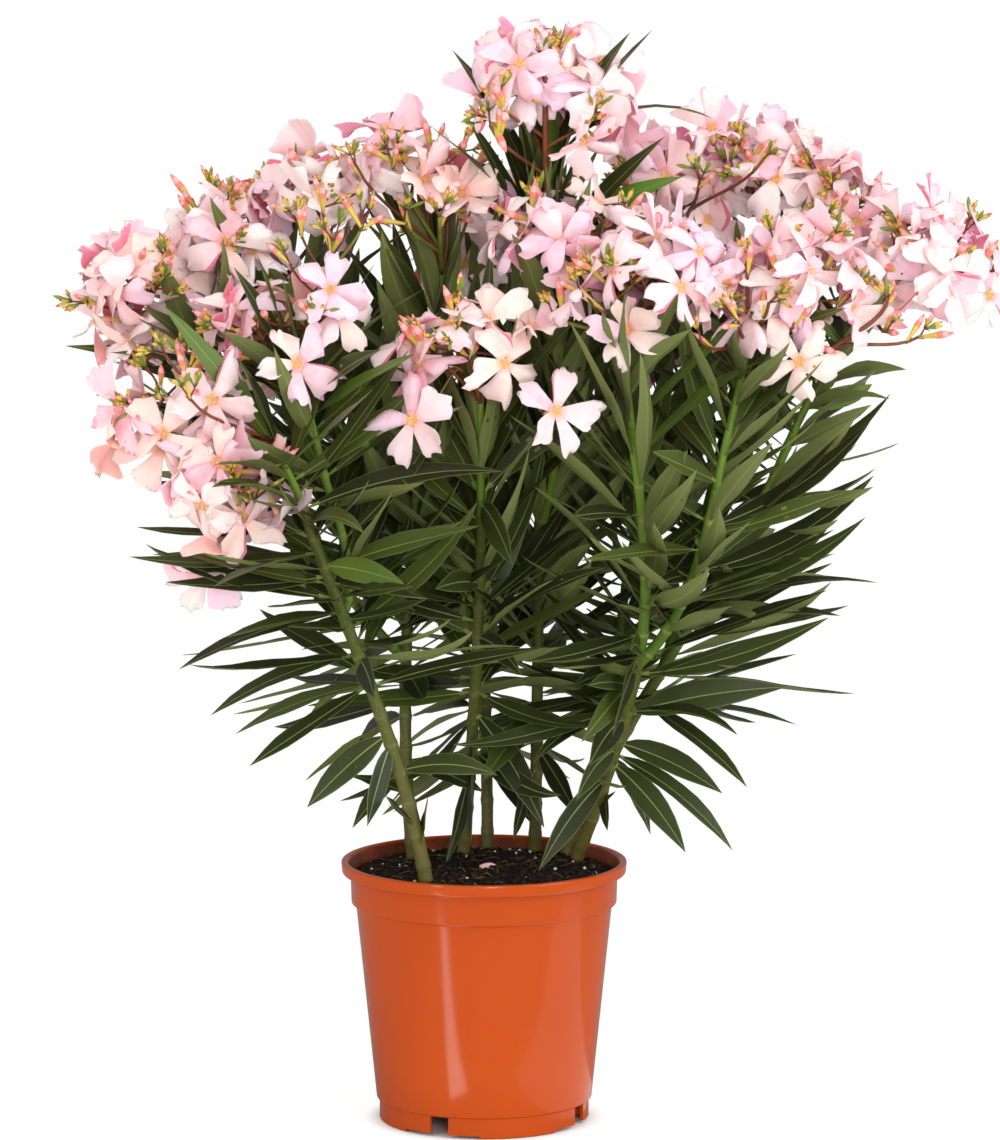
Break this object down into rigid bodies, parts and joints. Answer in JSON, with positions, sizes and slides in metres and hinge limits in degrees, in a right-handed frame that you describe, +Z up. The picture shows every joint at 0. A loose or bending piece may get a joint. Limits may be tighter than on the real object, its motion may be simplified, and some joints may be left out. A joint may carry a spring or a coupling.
{
  "type": "potted oleander",
  "caption": "Flowering oleander shrub in a round moulded nursery pot: leaning canes that fork, whorls of long narrow leaves and domed heads of pale pink blossom.",
  "frame": {"origin": "middle of the pot's flat underside, where it stands", "axes": "+Z up along the pot's axis, -Y the plant's front, +X to the right of the front"},
  "size_m": [0.613, 0.4528, 0.7301],
  "materials": {
    "pot": "moulded terracotta-orange plastic with a soft gloss",
    "compost": "dark moist peat compost with white perlite grains",
    "cane_bark": "smooth olive-brown young bark with leaf scars",
    "green_stem": "smooth green young shoots with node rings",
    "blossom": "thin silky pale pink petals",
    "foliage": "leathery dark green leaves with a pale midrib"
  },
  "bodies": {
    "root": {"pot": "pot", "compost": "compost", "cane_front_left": "cane_bark", "cane_middle": "cane_bark", "cane_centre_tall": "cane_bark", "cane_right": "cane_bark", "cane_back_right": "cane_bark", "cane_back_left": "cane_bark", "cane_back": "cane_bark", "bough_left_low": "green_stem", "bough_centre": "green_stem", "bough_right_inner": "green_stem", "bough_right_outer": "green_stem", "bough_far_right": "green_stem", "bough_upper_right": "green_stem", "bough_right_back": "green_stem", "bough_far_left": "green_stem", "bough_upper_left": "green_stem", "bough_left_centre": "green_stem", "bough_back_left": "green_stem", "bough_back_centre": "green_stem", "bough_back_right": "green_stem", "top_left_low": "blossom", "top_left_centre": "blossom", "top_middle": "blossom", "top_crown": "blossom", "top_centre": "blossom", "top_right_inner": "blossom", "top_right_outer": "blossom", "top_far_right": "blossom", "top_upper_right": "blossom", "top_right_back": "blossom", "top_far_left": "blossom", "top_upper_left": "blossom", "top_left_inner": "blossom", "top_back_left": "blossom", "top_back_centre": "blossom", "top_back_right": "blossom", "leaves_front_left_foot": "foliage", "leaves_front_left_outer": "foliage", "leaves_front_left_inner": "foliage", "leaves_middle_low": "foliage", "leaves_middle_high": "foliage", "leaves_centre_low": "foliage", "leaves_centre_high": "foliage", "leaves_right_low": "foliage", "leaves_right_inner": "foliage", "leaves_right_outer": "foliage", "leaves_back_right_low": "foliage", "leaves_far_right": "foliage", "leaves_upper_right": "foliage", "leaves_back_left_low": "foliage", "leaves_far_left": "foliage", "leaves_upper_left": "foliage", "leaves_left_centre": "foliage", "leaves_back_low": "foliage", "leaves_back_mid_left": "foliage", "leaves_back_mid_right": "foliage"}
  },
  "joints": []
}
